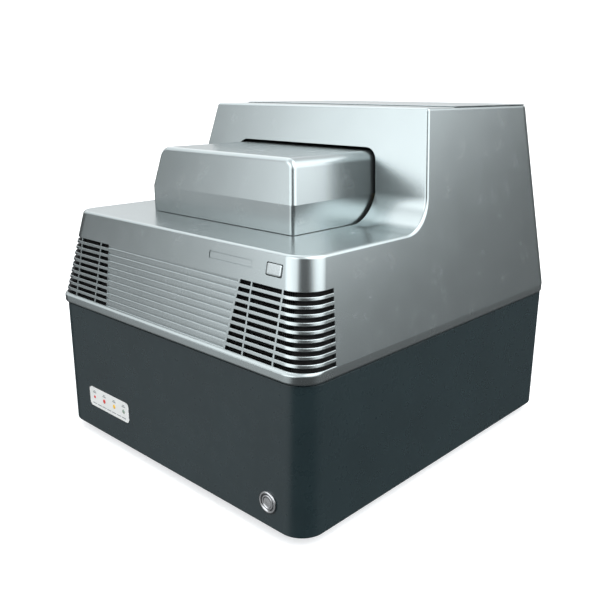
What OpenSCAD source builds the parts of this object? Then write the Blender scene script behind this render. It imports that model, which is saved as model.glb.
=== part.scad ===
// Bench thermal cycler for real-time PCR, with a powered hood that slides back into its tower.
// Millimetres, +Z up, front at -Y, origin on the table under the centre of the outline.

/* [Housing] */
// Width of the lower housing
body_w = 400; // [392:1:404]
// Depth of the lower housing
body_d = 452; // [448:1:456]
// Plan radius of the housing corners
corner_r = 26; // [20:1:30]
// Height of the feet under the housing
foot_h = 10; // [8:0.5:12]
// Height of the seam between the two housings
seam_z = 160; // [158:0.5:162]
// Height of the vertical lip above the seam
lip_h = 9; // [6:0.5:10]
// Distance that the lip stands proud of the front
lip_out = 2.5; // [1:0.5:4]
// Height of the flat deck
deck_z = 267.4; // [267:0.1:268]
// Height of the top of the tower, without its cover
tower_z = 385; // [380:1:395]
// Thickness of the cover on the tower's roof
cover_t = 1.2; // [1:0.1:2]
// Wall of the upper housing
wall = 3; // [2.5:0.1:3.5]
// Radius of the cove where the deck meets the tower
cove_r = 40; // [34:1:42]
// Front edge of the tower at deck height
tower_y = -29.6; // [-32:0.2:-28]

/* [Vents] */
// Number of rows of slots
vent_rows = 10; // [6:1:10]
// Spacing of the rows
vent_pitch = 6.9; // [6.5:0.1:7]
// Height of one slot
slot_h = 3.7; // [3:0.1:4.2]
// Top of the first row
vent_top = 237.4; // [236:0.1:240]

/* [Hood] */
// Centre of the hood, across the deck
hood_x = -3; // [-5:0.5:0]
// Half the width of the hood at the deck
hood_half = 112; // [110:1:113]
// Front face of the hood
hood_front = -145; // [-148:1:-144]
// Height of the crease above which the hood leans in
crease_z = 296.5; // [292:0.5:298]
// Height of the top of the hood
hood_z = 339.7; // [338:0.1:342]
// Gap around the hood where it enters the tower
hood_gap = 3.5; // [2.5:0.5:4]
// Travel of the hood into the tower
hood_travel = 130; // [110:5:130]

/* [Sample block] */
// Spacing of the wells
well_pitch = 9; // [9]
// Columns of wells
well_cols = 12; // [12]
// Rows of wells
well_rows = 8; // [8]
// Centre of the block, front to back
block_y = -92; // [-92]
// Top face of the block
block_z = 258; // [257:0.5:259]

/* [Controls] */
// Radius of the power button's ring
ring_r = 11; // [10:0.5:12]
// Centre of the power button across the front
power_x = 155.5; // [150:0.5:160]
// Height of the power button's centre
power_z = 36; // [32:0.5:40]
// Centre of the hood button across the front
lid_button_x = 148; // [145:0.5:150]
// Height of the hood button's centre
lid_button_z = 252.5; // [251:0.5:254]
// Centre of the status panel across the front
status_x = -108; // [-115:0.5:-100]
// Height of the status panel's centre
status_z = 52; // [45:0.5:60]

/* [Hidden] */
$fn = 48;

// Sheet, gap and overlap sizes used throughout
eps = 0.01;
far = 300;
seam_gap = 0.8;
seam_depth = 1.2;
lower_wall = 3.5;
hull_fn = 32;

// Front, side and rear faces of the upper housing, from the height at which they start to lean
lean_z = seam_z + lip_h + 1;
front_slope = 0.2075;
side_slope = 0.188;
rear_slope = 0.03;
upper_half = body_w / 2 + 1.5;
upper_r = corner_r - 1;
function front_y(z) = -body_d / 2 + front_slope * (z - lean_z);
function side_x(z) = upper_half - side_slope * (z - lean_z);
function rear_y(z) = body_d / 2 - 0.5 - rear_slope * (z - lean_z);
front_tilt = atan(front_slope);

// Tower front wall and the centre of its cove
tower_slope = 0.214;
tower_tilt = atan(tower_slope);
function tower_front(z) = tower_y + tower_slope * (z - deck_z);
cove_y = tower_front(deck_z + cove_r) - cove_r / cos(tower_tilt);
cove_z = deck_z + cove_r;
cove_step = 0.05;

// Hood section: upright to the crease, then leaning in
hood_lean = 0.2;
hood_top_half = hood_half - hood_lean * (hood_z - crease_z);
hood_corner_r = 12;
hood_wall = 3;
hood_rear = 8;
hood_lift = 0.5;

// Block and plate sizes
block_half = [62, 41];
bezel_in = [65, 44];
bezel_out = [68, 47];

// Hood drive
rail_x = 126;
rail_front = -4;
rail_rear = 212;
floor_z = 261;
frame_z = 274;
frame_t = 4;
screw_x = 154;
screw_z = 286;
screw_r = 4;
running = 0.05;
support_half = 13;
support_y = 157;
motor_half = 14;
motor_y = 177;
cross_half = 138;

// Optics shuttle
shuttle_z = 312;
shuttle_home = -60.5;
rod_r = 3;
rod_half = 45;
shuttle_screw_r = 2.5;

// Hot lid stack
lid_z = 269.5;
lid_t = 8;
heater_t = 0.8;
carrier_z = lid_z + lid_t + heater_t;
carrier_t = 6;
post_at = [66, 30];
bridge_z = 296;
bridge_t = 3;
actuator_x = 82;

// Fans and rear panel
panel_y = 220.5;
panel_t = 2;
sink_fan_size = 60;
sink_fan_y = -36;
sink_fan_z = 197;
exhaust_size = 92;
exhaust_x = -110;
exhaust_z = 86;
inlet_x = 120;
port_x = 60;

// Box between two opposite corners
module block(lo, hi) {
    translate(lo) cube(hi - lo);
}

// Rounded rectangle between two opposite corners
module rounded_rect(lo, hi, r) {
    size = hi - lo;
    translate(lo) union() {
        translate([r, 0]) square([size[0] - 2 * r, size[1]]);
        translate([0, r]) square([size[0], size[1] - 2 * r]);
        for (x = [r, size[0] - r], y = [r, size[1] - r]) translate([x, y]) circle(r);
    }
}

// Plate with rounded corners, from height lo[2] to hi[2]
module rounded_plate(lo, hi, r) {
    translate([0, 0, lo[2]]) linear_extrude(hi[2] - lo[2])
        rounded_rect([lo[0], lo[1]], [hi[0], hi[1]], r);
}

// Cylinder along +Y from y0 to y1
module rod_y(x, z, r, y0, y1) {
    translate([x, y0, z]) rotate([-90, 0, 0]) cylinder(r = r, h = y1 - y0);
}

// Shapes drawn flat in X and Z, given a thickness along Y
module upright(y0, y1) {
    translate([0, y1, 0]) rotate([90, 0, 0]) linear_extrude(y1 - y0) children();
}

// Shapes drawn flat in Y and Z, given a thickness along X
module sideways(x0, x1) {
    translate([x0, 0, 0]) rotate([90, 0, 90]) linear_extrude(x1 - x0) children();
}

// Places children on the leaning front face: local Y points into the housing
module on_front(x, z) {
    translate([x, front_y(z), z]) rotate([-front_tilt, 0, 0]) children();
}

// Thin slice of the leaning upper housing, pulled in by inset
module upper_slice(z, inset) {
    translate([0, 0, z]) linear_extrude(eps) rounded_rect(
        [-side_x(z) + inset, front_y(z) + inset],
        [side_x(z) - inset, rear_y(z) - inset], upper_r - inset, $fn = hull_fn);
}

// Deck and tower front, with the cove between them, as the space in front of the tower
// The cove's radius is a little over the tangent one, so that its edges are real corners
module front_space(grow) {
    r = cove_r + grow;
    wall_step = grow / cos(tower_tilt);
    deck = deck_z - grow;
    ceiling = tower_z + 100;
    sideways(-far, far) difference() {
        polygon([[-far, deck], [tower_front(deck) + wall_step, deck],
            [tower_front(ceiling) + wall_step, ceiling], [-far, ceiling]]);
        difference() {
            polygon([[cove_y, deck - 1], [tower_front(deck) + wall_step + 1, deck - 1],
                [cove_y + (r + 1) * cos(tower_tilt), cove_z - (r + 1) * sin(tower_tilt)],
                [cove_y, cove_z]]);
            translate([cove_y, cove_z]) circle(r + cove_step, $fn = 96);
        }
    }
}

// Leaning body of the upper housing, pulled in by inset on every face
module upper_body(inset) {
    difference() {
        hull() {
            upper_slice(lean_z - (inset > 0 ? 20 : 0), inset);
            upper_slice(tower_z - inset - eps, inset);
        }
        front_space(inset);
    }
}

// Outline of the hood across the object, grown by grow
module hood_section(grow) {
    r = hood_corner_r + grow;
    lean = atan(hood_lean);
    top = hood_z + grow;
    side = hood_half + grow;
    reach = side - hood_lean * (top - crease_z);
    round_x = side - hood_lean * (top - r - crease_z) - r / cos(lean);
    translate([hood_x, 0]) {
        difference() {
            polygon([[-side, 0], [side, 0], [side, crease_z], [reach, top], [-reach, top],
                [-side, crease_z]]);
            for (m = [0, 1]) mirror([m, 0]) difference() {
                polygon([[round_x, top - r], [round_x + r * cos(lean), top - r + r * sin(lean)],
                    [reach + r, top + r], [round_x, top + r]]);
                translate([round_x, top - r]) circle(r, $fn = 64);
            }
        }
    }
}

// Side view of the hood, with its front pulled in by inset
module hood_profile(inset, rear) {
    y = hood_front + inset;
    top = hood_z - inset;
    polygon([[y, 0], [rear, 0], [rear, top], [y + hood_lean * (top - crease_z), top], [y, crease_z]]);
}

// Region of one set of vent slots, on the +X side
module vent_region(inset) {
    vent_h = vent_pitch * (vent_rows - 1) + slot_h;
    low = vent_top - vent_h;
    intersection() {
        upright(-far, 0)
            polygon([[107.3 + inset, vent_top], [far, vent_top], [far, low], [99 + inset, low]]);
        sideways(0, far)
            polygon([[-far, vent_top], [-177 - inset, vent_top], [-186 - inset, low], [-far, low]]);
    }
}

// Slots that wrap round one front corner, with two upright ribs left standing
module vent_slots() {
    rib_t = 2;
    difference() {
        intersection() {
            vent_region(0);
            for (i = [0 : vent_rows - 1])
                block([60, -far, vent_top - slot_h - i * vent_pitch], [far, -150, vent_top - i * vent_pitch]);
        }
        for (x = [122.5, 161.5]) block([x - rib_t / 2, -far, 0], [x + rib_t / 2, -190, far]);
    }
}

// Shallow louvre grooves between the two vents
module louvre_grooves() {
    depth = 0.8;
    for (i = [0 : vent_rows - 1]) {
        half = 104.5 - 0.12 * i * vent_pitch;
        on_front(0, vent_top - slot_h / 2 - i * vent_pitch)
            block([-half, -5, -slot_h / 2], [half, depth, slot_h / 2]);
    }
}

// Square fan frame along +Y from y = 0, with struts and an axle at the rear
module fan_frame(size, depth) {
    bore = size / 2 - 2.5;
    hub = size * 0.2;
    hole = size / 2 - 5;
    difference() {
        upright(0, depth) difference() {
            rounded_rect([-size / 2, -size / 2], [size / 2, size / 2], 4);
            circle(bore, $fn = 96);
        }
        for (x = [-hole, hole], z = [-hole, hole]) rod_y(x, z, 2.1, -1, depth + 1);
    }
    rod_y(0, 0, hub, depth - 2.2, depth - 0.2);
    for (k = [0 : 2]) rotate([0, 90 + k * 120, 0])
        block([hub - 2, depth - 2.2, -2], [bore + 1, depth - 0.2, 2]);
    rod_y(0, 0, 2, 6, depth - 1);
}

// Seven-bladed fan rotor that turns on the frame's axle
module fan_rotor(size, depth) {
    hub = size * 0.22;
    tip = size / 2 - 3.7;
    difference() {
        union() {
            rod_y(0, 0, hub, 2, depth - 4);
            intersection() {
                rod_y(0, 0, tip, 1, depth - 3.5);
                for (k = [0 : 6]) rotate([0, k * 360 / 7, 0]) translate([0, depth / 2 - 1, 0])
                    rotate([38, 0, 0]) block([hub - 1, -depth / 2, -0.8], [size, depth / 2, 0.8]);
            }
        }
        rod_y(0, 0, 2 + running, 4, depth);
    }
}

// Holes or pegs on the grid of wells
module well_grid() {
    for (i = [0 : well_cols - 1], j = [0 : well_rows - 1])
        translate([hood_x + (i - (well_cols - 1) / 2) * well_pitch,
            block_y + (j - (well_rows - 1) / 2) * well_pitch, 0]) children();
}

// Plate centred on the block, given half sizes
module block_plate(half, z0, z1, r) {
    rounded_plate([hood_x - half[0], block_y - half[1], z0], [hood_x + half[0], block_y + half[1], z1], r);
}

// Mirrored about the hood's centre line
module both_sides() {
    for (m = [0, 1]) translate([hood_x, 0, 0]) mirror([m, 0, 0]) children();
}

// Bottom shell: four upright walls, with a stepped rim that makes the seam
module lower_housing() {
    half = [body_w / 2, body_d / 2];
    color("#3c4649") difference() {
        union() {
            rounded_plate([-half[0], -half[1], foot_h], [half[0], half[1], seam_z - seam_gap], corner_r);
            rounded_plate([-half[0] + seam_depth, -half[1] + seam_depth, seam_z - 5],
                [half[0] - seam_depth, half[1] - seam_depth, seam_z], corner_r - seam_depth);
        }
        rounded_plate([-half[0] + lower_wall, -half[1] + lower_wall, 0],
            [half[0] - lower_wall, half[1] - lower_wall, far], corner_r - lower_wall);
        rod_y(power_x, power_z, 9.6, -far, -200);
        upright(-far, -half[1] + 0.6) translate([status_x, status_z])
            rounded_rect([-40.2, -12.2], [40.2, 12.2], 5);
        for (x = [-29.5, -9.5, 11, 30]) rod_y(status_x + x, status_z, 2.7, -far, -200);
        block([-170, 200, 24], [170, far, 148]);
    }
}

// Upper shell: leaning walls, flat deck, cove and tower
module upper_housing() {
    color("#b4b6b9") difference() {
        union() {
            difference() {
                union() {
                    upper_body(0);
                    rounded_plate([-upper_half, -body_d / 2 - lip_out, seam_z],
                        [upper_half, body_d / 2 - 0.5, seam_z + lip_h], corner_r);
                    hull() {
                        translate([0, 0, seam_z + lip_h - eps]) linear_extrude(eps) rounded_rect(
                            [-upper_half, -body_d / 2 - lip_out],
                            [upper_half, body_d / 2 - 0.5], corner_r, $fn = hull_fn);
                        upper_slice(lean_z + 1.5, 0);
                    }
                }
                upper_body(wall);
            }
            block([hood_x - 122, cove_y - 8, deck_z - wall], [hood_x + 122, -8, deck_z]);
        }
        upright(cove_y - 30, 60) intersection() {
            hood_section(hood_gap);
            translate([-far, deck_z]) square([2 * far, far]);
        }
        block_plate(bezel_out, deck_z - 20, deck_z + 1, 5);
        for (m = [0, 1]) mirror([m, 0, 0]) vent_slots();
        louvre_grooves();
        on_front(lid_button_x, lid_button_z) block([-9.8, -5, -5.8], [9.8, 20, 5.8]);
        on_front(89.75, 253) block([-29.25, -5, -3.5], [29.25, 1.2, 3.5]);
        for (i = [0 : 7]) block([-70, 200, 300 + i * 8], [70, far, 303.5 + i * 8]);
    }
}

// Raised cover plate over the rear of the tower roof
module top_cover() {
    half = side_x(tower_z) - 1;
    rear = rear_y(tower_z) - 1;
    color("#bcbec1") union() {
        rounded_plate([-half, 90, tower_z], [half, rear, tower_z + cover_t], 24);
        block([-half, 48, tower_z], [half, 140, tower_z + cover_t]);
    }
}

// Sheet metal panel that closes the rear opening
module rear_panel() {
    color("#8d9194") difference() {
        block([-173.5, panel_y, 18], [173.5, panel_y + panel_t, 155]);
        rod_y(exhaust_x, exhaust_z, exhaust_size / 2 - 2.5, 200, 230);
        block([inlet_x - 14, 200, 38], [inlet_x + 14, 230, 86]);
        block([port_x - 6, 200, 44], [port_x + 6, 230, 55]);
        for (i = [0 : 6]) block([-30, 200, 100 + i * 6], [150, 230, 103 + i * 6]);
        for (x = [-41, 41], z = [-41, 41]) rod_y(exhaust_x + x, exhaust_z + z, 2.1, 200, 230);
    }
}

// Steel floor of the lower housing
module base_plate() {
    half = [body_w / 2 - lower_wall, body_d / 2 - lower_wall];
    color("#6e7275") rounded_plate([-half[0], -half[1], foot_h], [half[0], half[1], foot_h + 2],
        corner_r - lower_wall);
}

// Four round rubber feet
module rubber_feet() {
    color("#1c1c1c") for (x = [-150, 150], y = [-175, 175]) translate([x, y, 0])
        rotate_extrude() polygon([[0, 0], [11, 0], [12, 1], [14, foot_h], [0, foot_h]]);
}

// Two pads that keep the rear clear of a wall
module rear_bumpers() {
    color("#1c1c1c") for (x = [-176, 176]) rod_y(x, 20, 5, body_d / 2, body_d / 2 + lip_out);
}

// Mesh sheet behind one set of slots
module vent_mesh() {
    color("#202224") intersection() {
        difference() {
            upper_body(wall + 0.2);
            upper_body(wall + 1.2);
        }
        block([92, -far, 166], [far, -165, 242]);
    }
}

module vent_mesh_left() {
    mirror([1, 0, 0]) vent_mesh();
}

module vent_mesh_right() {
    vent_mesh();
}

// Blank strip in its recess on the front face
module nameplate_insert() {
    color("#a5a8ab") on_front(89.75, 253) block([-28.95, 0.6, -3.2], [28.95, 1.2, 3.2]);
}

// Rectangular button that opens and closes the hood
module lid_button() {
    color("#c4c6c8") on_front(lid_button_x, lid_button_z) union() {
        block([-9.5, -1, -5.5], [9.5, 4, 5.5]);
        block([-11, 3, -7], [11, 4.5, 7]);
        block([-2, 4.5, -2], [2, 8, 2]);
    }
}

// Small board that carries the hood button's switch
module lid_button_switch() {
    inside = wall * cos(front_tilt);
    color("#2f6b45") on_front(lid_button_x, lid_button_z) union() {
        block([-16, 14, -10.5], [16, 15.6, 10.5]);
        block([-6, 10.4, -4], [6, 14, 4]);
        for (z = [-5, 5]) rod_y(-13.8, z, 1.8, inside, 14);
        rod_y(9, 8.7, 1.4, inside, 14);
    }
}

// Steel ring and barrel of the power button
module power_button_bezel() {
    face = -body_d / 2;
    color("#c9cbcc") difference() {
        union() {
            translate([power_x, face - 2, power_z]) rotate([-90, 0, 0])
                rotate_extrude() polygon([[0, 0], [ring_r - 1, 0], [ring_r, 0.8], [ring_r, 2], [0, 2]]);
            rod_y(power_x, power_z, 9.5, face, face + 22);
        }
        rod_y(power_x, power_z, 7.6, face - 5, face + 20);
    }
}

// Steel cap of the power button
module power_button() {
    face = -body_d / 2;
    color("#b5b8ba") translate([power_x, face - 1.8, power_z]) rotate([-90, 0, 0])
        rotate_extrude() polygon([[0, 0.5], [5, 0.3], [6.9, 0], [7.5, 0.5], [7.5, 14.8], [0, 14.8]]);
}

// Nut that holds the power button
module power_button_nut() {
    face = -body_d / 2 + lower_wall;
    color("#9a9c9e") difference() {
        translate([power_x, face, power_z]) rotate([-90, 0, 0]) cylinder(r = 13, h = 4, $fn = 6);
        rod_y(power_x, power_z, 9.55, face - 1, face + 5);
    }
}

// White label plate behind the indicators
module status_panel() {
    face = -body_d / 2;
    color("#eceeec") difference() {
        upright(face - 0.2, face + 0.6) translate([status_x, status_z])
            rounded_rect([-40, -12], [40, 12], 4.8);
        rod_y(status_x - 29.5, status_z, 1.85, face - 5, face + 5);
        for (x = [-9.5, 11, 30]) rod_y(status_x + x, status_z, 2.55, face - 5, face + 5);
    }
}

// One light pipe, with a flange behind the wall
module status_lens(x, r) {
    face = -body_d / 2;
    rod_y(status_x + x, status_z, r, face - 0.8, face + 5);
    rod_y(status_x + x, status_z, 4, face + lower_wall, face + 5);
}

module fault_lens() {
    color("#c8281e") status_lens(-29.5, 1.8);
}

module lid_lens() {
    color("#d83222") status_lens(-9.5, 2.5);
}

module run_lens() {
    color("#e8c030") status_lens(11, 2.5);
}

module ready_lens() {
    color("#8aa694") status_lens(30, 2.5);
}

// Board with four lamps behind the light pipes
module indicator_board() {
    back = -body_d / 2 + 5;
    color("#2f6b45") union() {
        block([status_x - 40, back + 3, status_z - 10], [status_x + 40, back + 4.6, status_z + 10]);
        for (x = [-29.5, -9.5, 11, 30]) rod_y(status_x + x, status_z, 2, back, back + 3);
        for (x = [-37, 37]) rod_y(status_x + x, status_z, 2, back - 1.5, back + 3);
    }
}

// Sliding cover over the block, open underneath and at the rear
module hood_shell() {
    color("#a4a7aa") difference() {
        intersection() {
            upright(hood_front, hood_rear) hood_section(0);
            sideways(-far, far) hood_profile(0, hood_rear);
            block([-far, -far, deck_z + hood_lift], [far, far, far + 100]);
        }
        intersection() {
            upright(hood_front, hood_rear + 1) hood_section(-hood_wall);
            sideways(-far, far) hood_profile(hood_wall, hood_rear + 1);
        }
    }
}

// Frame that carries the hood, the hot lid and the optics
module hood_frame() {
    top = frame_z + frame_t;
    color("#84888b") difference() {
        union() {
            both_sides() block([90, -136, frame_z], [hood_half - hood_wall, hood_rear + 4, top]);
            block([-cross_half, hood_rear, frame_z], [cross_half, 75, top]);
            block([cross_half - 1, hood_rear, frame_z], [screw_x + 10, 26, top]);
            block([hood_x - 100, -136, frame_z], [hood_x + 100, -133, 319]);
            block([hood_x - 100, -22, frame_z], [hood_x + 100, -18, 325]);
            block([hood_x - 90, -134, bridge_z], [hood_x + 90, -21, bridge_z + bridge_t]);
        }
        block_plate([56, 37], bridge_z - 1, bridge_z + 4, 3);
        for (x = [-post_at[0], post_at[0]], y = [-post_at[1], post_at[1]])
            translate([hood_x + x, block_y + y, bridge_z - 5]) cylinder(r = 3 + running, h = 10);
        for (x = [-actuator_x, actuator_x])
            translate([hood_x + x, block_y, bridge_z - 5]) cylinder(r = 2 + running, h = 10);
        for (x = [-rod_half, rod_half]) rod_y(hood_x + x, shuttle_z, rod_r, -140, 0);
        rod_y(hood_x, shuttle_z, shuttle_screw_r + running, -140, 0);
    }
}

// Four ball-bearing carriages on the two rails
module rail_bearings() {
    color("#6c7073") for (x = [-rail_x, rail_x], y = [8, 44]) difference() {
        block([x - 13.5, y, frame_z - 10], [x + 13.5, y + 26, frame_z]);
        block([x - 6.2, y - 1, frame_z - 11], [x + 6.2, y + 27, frame_z - 4.8]);
    }
}

// Nut block that the lead screw drives
module screw_nut() {
    color("#b08d45") difference() {
        block([screw_x - 10, hood_rear, frame_z + frame_t], [screw_x + 10, 26, screw_z + 8]);
        rod_y(screw_x, screw_z, screw_r + running, 0, 30);
    }
}

// Heated plate with a hole over each well
module hot_lid_plate() {
    color("#9c9fa1") difference() {
        block_plate([63, 40], lid_z, lid_z + lid_t, 4);
        translate([0, 0, lid_z - 1]) well_grid() cylinder(r = 2.5, h = lid_t + 2, $fn = 24);
    }
}

// Film heater on the hot lid
module hot_lid_heater() {
    color("#b5651d") difference() {
        block_plate([62, 39.5], lid_z + lid_t, carrier_z, 3);
        translate([0, 0, lid_z]) well_grid() cylinder(r = 3, h = lid_t + 2, $fn = 24);
    }
}

// Insulating carrier with four guide posts
module hot_lid_carrier() {
    color("#d8d4c8") union() {
        difference() {
            union() {
                block_plate([74, 40.5], carrier_z, carrier_z + carrier_t, 4);
                block_plate([87, 9], carrier_z, carrier_z + carrier_t, 4);
            }
            block_plate([53, 34.2], carrier_z - 1, carrier_z + carrier_t + 1, 3);
        }
        for (x = [-post_at[0], post_at[0]], y = [-post_at[1], post_at[1]])
            translate([hood_x + x, block_y + y, carrier_z + carrier_t - 1])
                cylinder(r = 3, h = bridge_z + bridge_t - carrier_z - carrier_t + 1);
    }
}

// Four compression springs round the guide posts
module press_springs() {
    low = carrier_z + carrier_t;
    color("#a8abad") for (x = [-post_at[0], post_at[0]], y = [-post_at[1], post_at[1]])
        translate([hood_x + x, block_y + y, low]) difference() {
            cylinder(r = 5, h = bridge_z - low);
            translate([0, 0, -1]) cylinder(r = 3.4, h = 30);
        }
}

// Two linear actuators that press the hot lid down
module press_actuators() {
    color("#55585b") for (x = [-actuator_x, actuator_x])
        translate([hood_x + x, block_y, bridge_z + bridge_t]) difference() {
            cylinder(r = 7, h = 19);
            translate([0, 0, -1]) cylinder(r = 2 + running, h = 18);
        }
}

// Rods of the two actuators, seated on the carrier
module press_rods() {
    low = carrier_z + carrier_t;
    color("#c4c7c9") for (x = [-actuator_x, actuator_x])
        translate([hood_x + x, block_y, low]) cylinder(r = 2, h = 29);
}

// Scanning head: lamps and light sensors over one row of wells
module optics_shuttle() {
    color("#24272a") difference() {
        union() {
            block([hood_x - 58, shuttle_home - 7.5, 302], [hood_x + 58, shuttle_home + 7.5, 318]);
            block([hood_x - 52, shuttle_home - 4, 300.5], [hood_x + 52, shuttle_home + 4, 303]);
        }
        for (x = [-rod_half, rod_half]) rod_y(hood_x + x, shuttle_z, rod_r + running, -100, 0);
        rod_y(hood_x, shuttle_z, shuttle_screw_r + running, -100, 0);
    }
}

// Two round rods that guide the scanning head
module shuttle_rods() {
    color("#c4c7c9") for (x = [-rod_half, rod_half]) rod_y(hood_x + x, shuttle_z, rod_r, -136, -18);
}

// Screw that moves the scanning head
module shuttle_screw() {
    color("#a9acae") rod_y(hood_x, shuttle_z, shuttle_screw_r, -136, -16);
}

// Small stepper motor for the scanning head
module shuttle_motor() {
    color("#2b2e31") difference() {
        block([hood_x - 14, -18, shuttle_z - 14], [hood_x + 14, 12, shuttle_z + 13]);
        rod_y(hood_x, shuttle_z, shuttle_screw_r + running, -20, -15);
    }
}

// Two linear rails on the tower floor
module guide_rails() {
    color("#b9bcbe") for (x = [-rail_x, rail_x])
        block([x - 6, rail_front, floor_z], [x + 6, rail_rear, floor_z + 8]);
}

// Lead screw that drives the hood
module lead_screw() {
    color("#a9acae") union() {
        rod_y(screw_x, screw_z, screw_r, -7, support_y + 8);
        rod_y(screw_x, screw_z, 2.5, motor_y - 6, motor_y + 4);
    }
}

// Coupling between the motor and the screw
module screw_coupling() {
    color("#c9a24b") difference() {
        rod_y(screw_x, screw_z, 8, support_y + 5, motor_y - 3);
        rod_y(screw_x, screw_z, screw_r, support_y, support_y + 8);
        rod_y(screw_x, screw_z, 2.5, motor_y - 6, motor_y);
    }
}

// Pedestals with bearings for the screw, and the motor's plate
module screw_supports() {
    color("#777b7e") difference() {
        union() {
            block([screw_x - 10, -8, floor_z], [screw_x + 10, 0, screw_z + 10]);
            block([screw_x - support_half, support_y, floor_z],
                [screw_x + support_half, support_y + 4, screw_z + support_half]);
            block([screw_x - support_half, motor_y - 2, floor_z],
                [screw_x + support_half, motor_y, screw_z + support_half]);
        }
        rod_y(screw_x, screw_z, screw_r + running, -20, support_y + 6);
        rod_y(screw_x, screw_z, 9, motor_y - 5, motor_y + 1);
    }
}

// Stepper motor that drives the hood
module hood_motor() {
    color("#2b2e31") difference() {
        block([screw_x - motor_half, motor_y, screw_z - motor_half],
            [screw_x + motor_half, motor_y + 28, screw_z + motor_half]);
        rod_y(screw_x, screw_z, 2.5 + running, motor_y - 1, motor_y + 6);
    }
}

// Steel floor inside the tower
module tower_floor() {
    color("#777b7e") difference() {
        rounded_plate([-175, -8, floor_z - 3], [175, 213, floor_z], 8);
        rounded_plate([-60, 120, floor_z - 4], [60, 180, floor_z + 1], 8);
    }
}

// Welded frame of square tube that carries the block and the tower floor
module chassis_frame() {
    color("#5e6265") union() {
        for (x = [-120, 100]) {
            block([x, -165, 204], [x + 20, 188, 224]);
            for (y = [-165, 10, 168]) block([x, y, foot_h + 2], [x + 20, y + 20, 210]);
            for (y = [10, 168]) block([x, y, 220], [x + 20, y + 20, floor_z - 3]);
        }
        for (y = [10, 168]) block([-110, y, 204], [110, y + 20, 224]);
    }
}

// Aluminium block with 96 tapered wells
module sample_block() {
    color("#c8cacc") difference() {
        block_plate(block_half, block_z - 18, block_z, 3);
        translate([0, 0, block_z - 15]) well_grid() cylinder(r1 = 1.2, r2 = 2.9, h = 15 + eps, $fn = 32);
    }
}

// Frame round the block, set flush in the deck
module block_bezel() {
    color("#d9dbd9") difference() {
        union() {
            block_plate(bezel_out, 256, deck_z, 5);
            block_plate([bezel_out[0] + 3, bezel_out[1] + 3], 256, deck_z - wall, 5);
        }
        block_plate(bezel_in, 250, deck_z + 1, 1.5);
    }
}

// Silicone seal between the bezel and the block
module block_gasket() {
    color("#3a3a3a") difference() {
        block_plate([67, 46], 250, 256, 5);
        block_plate([block_half[0] + 0.1, block_half[1] + 0.1], 249, 257, 3);
    }
}

// Six thermoelectric modules under the block
module peltier_modules() {
    color("#e4e4e0") for (x = [-41.5, 0, 41.5], y = [-20.5, 20.5])
        translate([hood_x + x - 20, block_y + y - 20, block_z - 22]) cube([40, 40, 4]);
}

// Finned heat sink that hangs between the chassis rails
module heat_sink() {
    base_z = 224;
    color("#a0a4a7") union() {
        block([hood_x - 116, block_y - 55, base_z], [hood_x + 116, block_y + 55, block_z - 22]);
        for (i = [-12 : 12]) block([hood_x + i * 6 - 0.8, block_y - 55, 172],
            [hood_x + i * 6 + 0.8, block_y + 55, base_z]);
    }
}

// Sheet metal trough that keeps the air between the fins
module air_duct() {
    color("#6e7275") union() {
        block([hood_x - 77.5, -150, 168.5], [hood_x + 77.5, -37, 170]);
        both_sides() block([76, -150, 168.5], [77.5, -37, 224]);
    }
}

// Frames of the two fans behind the heat sink
module sink_fan_frames() {
    color("#26282a") for (x = [-31, 31]) translate([hood_x + x, sink_fan_y, sink_fan_z])
        fan_frame(sink_fan_size, 25);
}

module sink_fan_rotor_left() {
    color("#313437") translate([hood_x - 31, sink_fan_y, sink_fan_z]) fan_rotor(sink_fan_size, 25);
}

module sink_fan_rotor_right() {
    color("#313437") translate([hood_x + 31, sink_fan_y, sink_fan_z]) fan_rotor(sink_fan_size, 25);
}

// Frame of the rear exhaust fan
module exhaust_fan_frame() {
    color("#26282a") translate([exhaust_x, panel_y - 25, exhaust_z]) fan_frame(exhaust_size, 25);
}

module exhaust_fan_rotor() {
    color("#313437") translate([exhaust_x, panel_y - 25, exhaust_z]) fan_rotor(exhaust_size, 25);
}

// Wire guard over the exhaust fan
module exhaust_guard() {
    y = panel_y + panel_t;
    color("#b9bcbe") translate([exhaust_x, y, exhaust_z]) union() {
        for (r = [10, 20, 30, 40]) rotate([-90, 0, 0]) translate([0, 0, 1])
            rotate_extrude($fn = 64) translate([r, 0]) circle(1, $fn = 16);
        for (k = [0 : 3]) rotate([0, 45 + k * 90, 0]) block([9, 0.2, -0.8], [55.9, 1.8, 0.8]);
    }
}

// Enclosed power supply
module power_supply() {
    color("#a9acae") union() {
        block([-180, 40, 18], [-60, 165, 68]);
        for (x = [-170, -70], y = [50, 155]) translate([x, y, foot_h + 2]) cylinder(r = 4, h = 6);
        block([-170, 32, 24], [-90, 40, 40]);
    }
}

// Main control board on stand-offs
module main_board() {
    z = 25.6;
    color("#2f6b45") union() {
        block([-30, -60, 24], [94, 140, z]);
        for (x = [-25, 89], y = [-55, 135]) translate([x, y, foot_h + 2]) cylinder(r = 3, h = 12);
        block([10, 20, z], [50, 60, z + 4]);
        block([-20, -40, z], [20, -10, z + 18]);
        for (i = [0 : 4]) block([60, -45 + i * 34, z], [84, -25 + i * 34, z + 10]);
        for (i = [0 : 3]) translate([-15, 80 + i * 14, z]) cylinder(r = 5, h = 16);
    }
}

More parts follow.
